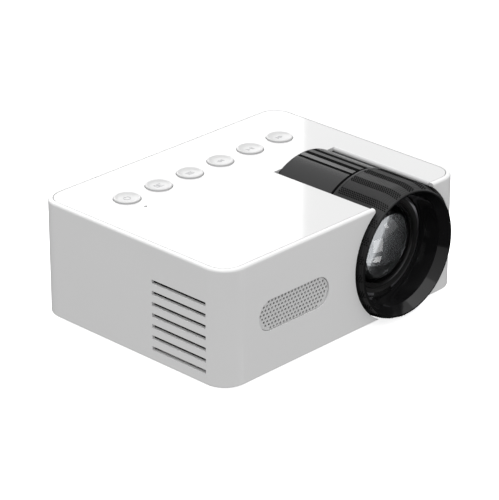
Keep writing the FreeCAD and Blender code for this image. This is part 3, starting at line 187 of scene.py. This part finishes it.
MAKE = {
    "case_white": lambda: moulded("case_white", (0.78, 0.78, 0.78), 0.34, 0.42, Coat_Weight=0.05),
    "panel_white": lambda: moulded("panel_white", (0.66, 0.66, 0.66), 0.04, 0.07, grain=0.0000004),
    "base_white": lambda: moulded("base_white", (0.7, 0.7, 0.7), 0.5, 0.62, grain=0.00001),
    "button_white": lambda: moulded("button_white", (0.56, 0.56, 0.56), 0.28, 0.36),
    "grille_grey": lambda: moulded("grille_grey", (0.66, 0.66, 0.66), 0.45, 0.55),
    "cowl_black": lambda: moulded("cowl_black", (0.02, 0.02, 0.0205), 0.2, 0.26, Specular_IOR_Level=0.34),
    "ring_black": ring_black,
    "inner_black": lambda: moulded("inner_black", (0.006, 0.006, 0.006), 0.4, 0.55),
    "anodised_black": lambda: moulded("anodised_black", (0.006, 0.006, 0.006), 0.3, 0.4),
    "foot_rubber": lambda: moulded("foot_rubber", (0.03, 0.03, 0.03), 0.7, 0.85, grain=0.00002),
    "screw_steel": lambda: metal("screw_steel", (0.5, 0.5, 0.52), 0.25, 0.4),
    "clip_steel": lambda: metal("clip_steel", (0.3, 0.3, 0.32), 0.25, 0.4),
    "brass": lambda: metal("brass", (0.68, 0.48, 0.2), 0.2, 0.35),
    # lens_glass carries a dark grey tint as painted shade: it keeps the lens dark where clear glass would show the
    # bright sky.
    "lens_glass": lambda: clear("lens_glass", (0.26, 0.27, 0.28)),
    "clear_plastic": lambda: clear("clear_plastic", (0.95, 0.97, 1.0), 0.08, 1.49),
    "lcd": lambda: moulded("lcd", (0.02, 0.025, 0.03), 0.05, 0.1),
    "mirror": lambda: metal("mirror", (0.9, 0.9, 0.92), 0.0, 0.03),
    "reflector": lambda: metal("reflector", (0.85, 0.85, 0.87), 0.05, 0.12),
    "sink_aluminium": lambda: metal("sink_aluminium", (0.6, 0.61, 0.63), 0.3, 0.45, (1, 12, 12)),
    "led_yellow": lambda: moulded("led_yellow", (0.7, 0.52, 0.08), 0.4, 0.5),
    "board_green": lambda: moulded("board_green", (0.01, 0.09, 0.035), 0.3, 0.4),
    "chip_black": lambda: moulded("chip_black", (0.02, 0.02, 0.022), 0.45, 0.6),
    "can_silver": lambda: metal("can_silver", (0.6, 0.61, 0.63), 0.25, 0.35),
    "socket_metal": lambda: metal("socket_metal", (0.55, 0.55, 0.56), 0.22, 0.36),
    "socket_black": lambda: moulded("socket_black", (0.012, 0.012, 0.012), 0.4, 0.5),
    "switch_grey": lambda: moulded("switch_grey", (0.08, 0.08, 0.085), 0.4, 0.5),
    "speaker_paper": lambda: moulded("speaker_paper", (0.02, 0.02, 0.021), 0.7, 0.9, grain=0.00003),
    "speaker_rubber": lambda: moulded("speaker_rubber", (0.012, 0.012, 0.012), 0.6, 0.7),
    "magnet_steel": lambda: metal("magnet_steel", (0.3, 0.3, 0.32), 0.3, 0.45),
    "fan_black": lambda: moulded("fan_black", (0.012, 0.012, 0.013), 0.35, 0.45),
    "copper": lambda: metal("copper", (0.6, 0.28, 0.13), 0.25, 0.35),
    "flex_amber": lambda: moulded("flex_amber", (0.45, 0.2, 0.03), 0.25, 0.35),
    "ir_red": lambda: moulded("ir_red", (0.03, 0.002, 0.004), 0.06, 0.1),
    "washer_white": lambda: moulded("washer_white", (0.65, 0.65, 0.63), 0.4, 0.5),
}
materials = {name: make() for name, make in MAKE.items()}
grip_matt = moulded("grip_matt", (0.003, 0.003, 0.003), 0.5, 0.6, Specular_IOR_Level=0.06)
stripe_black = moulded("stripe_black", (0.002, 0.002, 0.002), 0.7, 0.8, Specular_IOR_Level=0.02)
symbol_grey = moulded("symbol_grey", (0.42, 0.42, 0.43), 0.45, 0.55)


def finish_cad_nodes():
    """Gives every CAD node the material of its slot in the record."""
    for part in frame["record"]["subparts"]:
        node = nodes[part["node"]]
        node.data.materials.clear()
        node.data.materials.append(materials[part["material_slot"]])


# ---------------------------------------------------------------- modelled pieces
def piece(name, verts, faces, slot, body, material=None):
    """A mesh given in millimetres, facing outwards, which rides on a body and takes a slot's finish."""
    mesh = bpy.data.meshes.new(name)
    mesh.from_pydata([Vector(v) * MM for v in verts], [], faces)
    mesh.validate()
    solid = bmesh.new()
    solid.from_mesh(mesh)
    bmesh.ops.recalc_face_normals(solid, faces=solid.faces)
    solid.to_mesh(mesh)
    solid.free()
    mesh.shade_smooth()
    mesh.set_sharp_from_angle(angle=math.radians(SHARP_ANGLE))
    made = bpy.data.objects.new(name, mesh)
    bpy.context.scene.collection.objects.link(made)
    mesh.materials.append(material or materials[slot])
    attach(made, body)
    return made


def add(verts, faces, more_verts, more_faces):
    """Appends one closed shape to the lists of another."""
    start = len(verts)
    verts.extend(more_verts)
    faces.extend([tuple(start + i for i in face) for face in more_faces])


def turned(profile, place, segments):
    """Verts and faces of a profile of (along, radius) turned once round.

    place(along, radius, angle) gives a point.
    """
    verts, faces, rows = [], [], []
    for along, radius in profile:
        count = 1 if radius == 0 else segments
        rows.append([len(verts) + i for i in range(count)])
        verts.extend([place(along, radius, 2 * math.pi * i / segments) for i in range(count)])
    for low, high in zip(rows, rows[1:]):
        for i in range(segments):
            j = (i + 1) % segments
            ring = [low[i % len(low)], low[j % len(low)], high[j % len(high)], high[i % len(high)]]
            faces.append(tuple(dict.fromkeys(ring)))
    return verts, faces


def block(corners_low, corners_high):
    """A closed shape between two outlines with the same number of corners."""
    n = len(corners_low)
    faces = [tuple(reversed(range(n))), tuple(range(n, 2 * n))]
    faces += [(i, (i + 1) % n, n + (i + 1) % n, n + i) for i in range(n)]
    return list(corners_low) + list(corners_high), faces


def about_lens(angle, y, radius):
    """A point at an angle about the lens axis, counted from +X towards +Z."""
    return (LENS_MM.x + radius * math.cos(angle), y, LENS_MM.z + radius * math.sin(angle))


def arc_bar(y0, y1, r0, r1, angle, half, steps):
    """A closed bar that bends round the lens axis between two radii, half an angle to each side."""
    verts, faces = [], []
    for i in range(steps + 1):
        t = angle - half + 2 * half * i / steps
        verts += [about_lens(t, y, r) for y, r in ((y0, r0), (y1, r0), (y1, r1), (y0, r1))]
    for i in range(steps):
        a, b = 4 * i, 4 * i + 4
        faces += [(a + k, a + (k + 1) % 4, b + (k + 1) % 4, b + k) for k in range(4)]
    faces.append((3, 2, 1, 0))
    faces.append(tuple(4 * steps + k for k in range(4)))
    return verts, faces


GRIP_BANDS = 22
GRIP_STEP = 2 * math.pi / GRIP_BANDS
GRIP_FIRST = math.radians(102.5)  # angle of the middle of one band
GRIP_PITCH = 0.9  # from row to row
GRIP_COLUMNS = 4  # in each band
GRIP_COLUMN_PITCH = 0.85
GRIP_BACK, GRIP_FRONT = -27.2, -49.8
GRIP_ROWS = int((GRIP_BACK - GRIP_FRONT) / GRIP_PITCH) + 1
STUD_HALF, STUD_TOP, STUD_H = 0.445, 0.24, 0.27  # half diagonals at foot and top, and height
SUNK = 0.08  # how far studs and ribs go into the ring
RIB_W, RIB_H, RIB_GAP, RIB_STEPS = 0.34, 0.07, 0.1, 4
OUTSIDE = 40.0  # a radius clear of the ring


def ring_radius():
    """Makes a function that gives the ring's outer radius at a y."""
    mesh = nodes["focus_ring"].data
    tree = BVHTree.FromPolygons([v.co for v in mesh.vertices], [p.vertices for p in mesh.polygons])

    def radius(y):
        start = Vector(about_lens(math.pi / 2, y, OUTSIDE)) * MM
        hit = tree.ray_cast(start, Vector((0.0, 0.0, -1.0)))[0]
        return hit.z / MM - LENS_MM.z

    return radius


def stud(angle, y, r):
    """A flat-topped pyramid with a diamond outline, standing on the ring."""
    outlines = []
    for half, out in ((STUD_HALF, -SUNK), (STUD_TOP, STUD_H)):
        corners = ((half, 0), (0, half), (-half, 0), (0, -half))
        outlines.append([about_lens(angle + a / r, y + b, r + out) for a, b in corners])
    return block(*outlines)


def grip_studs(radius):
    """Bands of small studs round the ring, every other column half a row forward."""
    verts, faces = [], []
    for column in range(GRIP_COLUMNS):
        shift = (column - (GRIP_COLUMNS - 1) / 2) * GRIP_COLUMN_PITCH
        for row in range(GRIP_ROWS):
            y = GRIP_BACK - (row + 0.5 * (column % 2)) * GRIP_PITCH
            r = radius(y)
            for band in range(GRIP_BANDS):
                add(verts, faces, *stud(GRIP_FIRST + band * GRIP_STEP + shift / r, y, r))
    piece("focus_grip_studs", verts, faces, "ring_black", "focus_ring", grip_matt)


def grip_ribs(radius):
    """Fine ribs between the bands."""
    verts, faces = [], []
    band_half = GRIP_COLUMN_PITCH * GRIP_COLUMNS / 2 + RIB_GAP
    for row in range(GRIP_ROWS):
        y = GRIP_BACK - row * GRIP_PITCH
        r = radius(y)
        half = GRIP_STEP / 2 - band_half / r
        for band in range(GRIP_BANDS):
            angle = GRIP_FIRST + (band + 0.5) * GRIP_STEP
            rib = arc_bar(y - RIB_W / 2, y + RIB_W / 2, r - SUNK, r + RIB_H, angle, half, RIB_STEPS)
            add(verts, faces, *rib)
    piece("focus_grip_ribs", verts, faces, "ring_black", "focus_ring")


COWL_R = 26.6
STRIPES = ((79.2, 2.5), (89.2, 2.2), (98.0, 1.4))  # each groove's angle in degrees, and its width
STRIPE_FLOOR, STRIPE_TOP = 0.6, 0.04  # below the cowl's crown
STRIPE_SIDE_GAP, STRIPE_END_GAP, STRIPE_STEPS = 0.02, 0.45, 6


def cowl_stripes():
    """Near-black, dull strips laid in the cowl's three grooves, which make the grooves darker than the cowl."""
    low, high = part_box("lens_cowl")
    y0, y1 = low[1] / MM, high[1] / MM - STRIPE_END_GAP
    r0, r1 = COWL_R - STRIPE_FLOOR, COWL_R - STRIPE_TOP
    verts, faces = [], []
    for degrees, width in STRIPES:
        half = (width / 2 - STRIPE_SIDE_GAP) / COWL_R
        add(verts, faces, *arc_bar(y0, y1, r0, r1, math.radians(degrees), half, STRIPE_STEPS))
    piece("cowl_stripes", verts, faces, "cowl_black", "case", stripe_black)


SECTOR_STEPS = 28


def sector(r0, r1, start, end):
    """Outline of part of a flat ring, angles in degrees."""
    turns = [math.radians(start + (end - start) * i / SECTOR_STEPS) for i in range(SECTOR_STEPS + 1)]
    outer = [(r1 * math.cos(t), r1 * math.sin(t)) for t in turns]
    inner = [(r0 * math.cos(t), r0 * math.sin(t)) for t in reversed(turns)]
    return outer + inner


def bar(x0, x1, y0, y1):
    """Outline of a rectangle."""
    return [(x0, y0), (x1, y0), (x1, y1), (x0, y1)]


def arrow(x, way):
    """Outline of a triangle that points to +X for way 1 and to -X for way -1."""
    corners = [(x - way * 0.8, -1.0), (x + way * 0.9, 0.0), (x - way * 0.8, 1.0)]
    return corners if way > 0 else corners[::-1]


SYMBOLS = {
    "power": [sector(1.15, 1.55, -235, 55), bar(-0.2, 0.2, 0.45, 1.75)],
    "source": [
        bar(-1.7, 1.7, -1.3, -0.95),
        bar(-1.7, 1.7, 0.95, 1.3),
        bar(-1.7, -1.35, -0.9, 0.9),
        arrow(0.2, 1),
    ],
    "menu": [bar(-1.5, 1.5, y - 0.18, y + 0.18) for y in (-0.9, 0.0, 0.9)],
    "left": [arrow(0.6, -1), arrow(-0.9, -1)],
    "play": [arrow(-0.8, 1), bar(0.5, 0.85, -1.0, 1.0), bar(1.2, 1.55, -1.0, 1.0)],
    "right": [arrow(-0.6, 1), arrow(0.9, 1)],
}
CAP_R, FLANGE_R, STEM_R = 5.3, 6.3, 1.5
FLANGE_TOP, FLANGE_FLOOR = 2.15, 3.05  # below the cap's top
EDGE_R, EDGE_STEPS = 0.4, 8  # rounding of the cap's edge
RIM_IN = 0.15  # the rim's flat, outside the dish
DISH_R, DISH_DEPTH, DISH_DROP, DISH_STEPS = 4.55, 0.5, 0.02, 11
DISH_POWER = 4  # a flat middle and a steep side
SYMBOL_SUNK, SYMBOL_H = 0.1, 0.06
CAP_SEGMENTS = 72


def cap_profile(foot, top):
    """(height, radius) of a button, from its stem's foot up the outside to the middle of the dish."""
    profile = [(foot, 0), (foot, STEM_R), (top - FLANGE_FLOOR, STEM_R), (top - FLANGE_FLOOR, FLANGE_R)]
    profile += [(top - FLANGE_TOP, FLANGE_R), (top - FLANGE_TOP, CAP_R)]
    for i in range(EDGE_STEPS + 1):
        t = math.radians(90 * i / EDGE_STEPS)
        profile.append((top - EDGE_R + EDGE_R * math.sin(t), CAP_R - EDGE_R + EDGE_R * math.cos(t)))
    profile.append((top, DISH_R + RIM_IN))
    for i in range(DISH_STEPS + 1):
        k = 1 - i / DISH_STEPS
        profile.append((top - DISH_DROP - DISH_DEPTH * (1 - k**DISH_POWER), DISH_R * k))
    return profile


def button(name, outlines):
    """A dished cap with its flange and stem, and a small plain symbol in the dish."""
    node = f"{name}_button"
    low, high = (Vector(corner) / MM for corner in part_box(node))
    x, y = (low.x + high.x) / 2, (low.y + high.y) / 2

    def place(along, radius, angle):
        return (x + radius * math.cos(angle), y + radius * math.sin(angle), along)

    shape = turned(cap_profile(low.z, high.z), place, CAP_SEGMENTS)
    cap = piece(f"{name}_cap", *shape, "button_white", node)
    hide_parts(node)
    dish_floor = high.z - DISH_DROP - DISH_DEPTH
    verts, faces = [], []
    for outline in outlines:
        lower = [(x + a, y + b, dish_floor - SYMBOL_SUNK) for a, b in outline]
        upper = [(x + a, y + b, dish_floor + SYMBOL_H) for a, b in outline]
        add(verts, faces, *block(lower, upper))
    piece(f"{name}_symbol", verts, faces, "button_white", node, symbol_grey)


LENSES = {  # y of the rim's front and back, and how far each face bulges outwards in the middle
    "front_lens": (-36.2, -33.4, 7.116, 0.0),
    "second_lens": (-30.6, -26.0, -1.25, -2.03),
}
LENS_STEPS, LENS_SEGMENTS = 40, 128


def lens_surface(bulge, r):
    """(bulge, radius) from the rim to the middle of a flat or spherical face."""
    radii = [r * (1 - i / LENS_STEPS) for i in range(LENS_STEPS + 1)]
    if not bulge:
        return [(0.0, h) for h in radii]
    curve = (r**2 + bulge**2) / (2 * abs(bulge))
    to_rim = curve - abs(bulge)
    return [(math.copysign(math.sqrt(curve**2 - h**2) - to_rim, bulge), h) for h in radii]


def lens_glass(node, rim_front, rim_back, front_bulge, back_bulge):
    """A polished lens, turned finely enough for clean reflections, in place of the CAD one."""
    low, high = (Vector(corner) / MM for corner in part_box(node))
    r = (high.x - low.x) / 2
    front = [(rim_front - depth, h) for depth, h in reversed(lens_surface(front_bulge, r))]
    back = [(rim_back + depth, h) for depth, h in lens_surface(back_bulge, r)]

    def place(along, radius, angle):
        return about_lens(angle, along, radius)

    shape = turned(front + back, place, LENS_SEGMENTS)
    made = piece(node.replace("lens", "glass"), *shape, "lens_glass", "lens_barrel")
    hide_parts(node)


# ---------------------------------------------------------------- camera, floor and light
FOCAL_PX = 2729.97
IMAGE_PX = 500
SENSOR = 36.0
AIM = Vector((-2.14, 0.27, 24.69)) * MM
AZIMUTH = math.radians(45.94)
ELEVATION = math.radians(24.93)
DISTANCE = 1.0516
VIEW_RIGHT = Vector((math.cos(AZIMUTH), -math.sin(AZIMUTH), 0.0))
VIEW_AHEAD = Vector((math.sin(AZIMUTH), math.cos(AZIMUTH), 0.0))
UP = Vector((0.0, 0.0, 1.0))

FLOOR_HALF, FLOOR_GREY, FLOOR_GLOW = 6.0, 0.9, 0.8
FLAG_HALF, FLAG_Z, FLAG_GREY = 8.0, -0.3, 0.02
SKY_FROM, SKY_TO = -0.1, 1.0  # direction's Z where the sky's strength starts and stops rising
SKY_LOW, SKY_HIGH = 0.56, 1.15
OVERHEAD_Z, OVERHEAD_SIZE, OVERHEAD_RADIANCE = 1.6, (1.8, 1.8), 1.0
BACK_CARD_AT = (0.9, -0.562, 0.45)  # ahead, right, up; its right end ends the sheen on the panel
BACK_CARD_SIZE, BACK_CARD_RADIANCE = (1.2, 0.5), 1.9
SPARKLE_CARDS = (  # ahead, right, up, size and radiance; seen only in polished surfaces
    (-0.1, 0.2, -0.11, (0.055, 0.045), 5.0),
    (-0.16, 0.2, -0.14, (0.12, 0.05), 1.6),
    (-0.1, 0.17, 0.0, (0.06, 0.07), 4.0),
    (-0.15, 0.9, 0.25, (0.12, 0.12), 4.0),
)


def camera():
    back = UP * math.sin(ELEVATION) - VIEW_AHEAD * math.cos(ELEVATION)
    data = bpy.data.cameras.new("camera")
    data.sensor_width = SENSOR
    data.lens = FOCAL_PX * SENSOR / IMAGE_PX
    made = bpy.data.objects.new("camera", data)
    made.location = AIM + back * DISTANCE
    made.rotation_euler = (-back).to_track_quat("-Z", "Y").to_euler()
    bpy.context.scene.collection.objects.link(made)
    bpy.context.scene.camera = made


def level_sheet(name, half, z, shader, unseen):
    """A square sheet of the studio at a height, which the listed kinds of ray pass through."""
    mesh = bpy.data.meshes.new(name)
    corners = [(-half, -half, z), (half, -half, z), (half, half, z), (-half, half, z)]
    mesh.from_pydata(corners, [], [(0, 1, 2, 3)])
    mesh.materials.append(shader.material)
    made = bpy.data.objects.new(name, mesh)
    for ray in unseen:
        setattr(made, f"visible_{ray}", False)
    bpy.context.scene.collection.objects.link(made)


def floor():
    """Plain white floor, left out of bounced light and reflections, so the case keeps its even sides."""
    white = Shader("floor_white", (FLOOR_GREY,) * 3, 0.9, Specular_IOR_Level=0.0)
    white.set("Emission Color", (1.0, 1.0, 1.0, 1.0))
    white.set("Emission Strength", FLOOR_GLOW)
    level_sheet("floor", FLOOR_HALF, 0.0, white, ("diffuse", "glossy"))


def low_flag():
    """Black sheet below the floor, met only by reflections, so polished black stays black below."""
    black = Shader("flag_black", (FLAG_GREY,) * 3, 0.9, Specular_IOR_Level=0.0)
    unseen = ("camera", "diffuse", "transmission", "shadow", "volume_scatter")
    level_sheet("low_flag", FLAG_HALF, FLAG_Z, black, unseen)


def studio(ahead, right, up):
    """A place given from the object's foot: metres away from the camera, to its right, and up."""
    return VIEW_AHEAD * ahead + VIEW_RIGHT * right + UP * up


def area_light(name, at, towards, size, radiance, diffuse=True):
    """A rectangular light. One with diffuse off shows only in reflections."""
    data = bpy.data.lights.new(name, "AREA")
    data.shape = "RECTANGLE"
    data.size, data.size_y = size
    data.energy = radiance * size[0] * size[1] * math.pi
    made = bpy.data.objects.new(name, data)
    made.location = at
    made.rotation_euler = (Vector(towards) - Vector(at)).to_track_quat("-Z", "Y").to_euler()
    made.visible_diffuse = diffuse
    bpy.context.scene.collection.objects.link(made)


def sky():
    """Soft white surroundings, brighter overhead than level with the object."""
    world = bpy.data.worlds.new("studio")
    world.use_nodes = True
    tree = world.node_tree
    background = tree.nodes["Background"]
    background.inputs["Color"].default_value = (1.0, 1.0, 1.0, 1.0)
    place = tree.nodes.new("ShaderNodeTexCoord")
    split = tree.nodes.new("ShaderNodeSeparateXYZ")
    spread = tree.nodes.new("ShaderNodeMapRange")
    spread.inputs["From Min"].default_value = SKY_FROM
    spread.inputs["From Max"].default_value = SKY_TO
    spread.inputs["To Min"].default_value = SKY_LOW
    spread.inputs["To Max"].default_value = SKY_HIGH
    tree.links.new(place.outputs["Generated"], split.inputs["Vector"])
    tree.links.new(split.outputs["Z"], spread.inputs["Value"])
    tree.links.new(spread.outputs["Result"], background.inputs["Strength"])
    bpy.context.scene.world = world


def light():
    sky()
    bpy.context.scene.view_settings.view_transform = "Standard"
    area_light("overhead", UP * OVERHEAD_Z, (0, 0, 0), OVERHEAD_SIZE, OVERHEAD_RADIANCE)
    card = studio(*BACK_CARD_AT)
    area_light("back_card", card, card - VIEW_AHEAD, BACK_CARD_SIZE, BACK_CARD_RADIANCE)
    for number, (ahead, right, up, size, radiance) in enumerate(SPARKLE_CARDS):
        area_light(f"sparkle_{number}", studio(ahead, right, up), LENS_MM * MM, size, radiance, diffuse=False)


finish_cad_nodes()
ring_radius_at = ring_radius()
grip_studs(ring_radius_at)
grip_ribs(ring_radius_at)
cowl_stripes()
for button_name, button_symbol in SYMBOLS.items():
    button(button_name, button_symbol)
for lens_node, lens_shape in LENSES.items():
    lens_glass(lens_node, *lens_shape)
camera()
floor()
low_flag()
light()
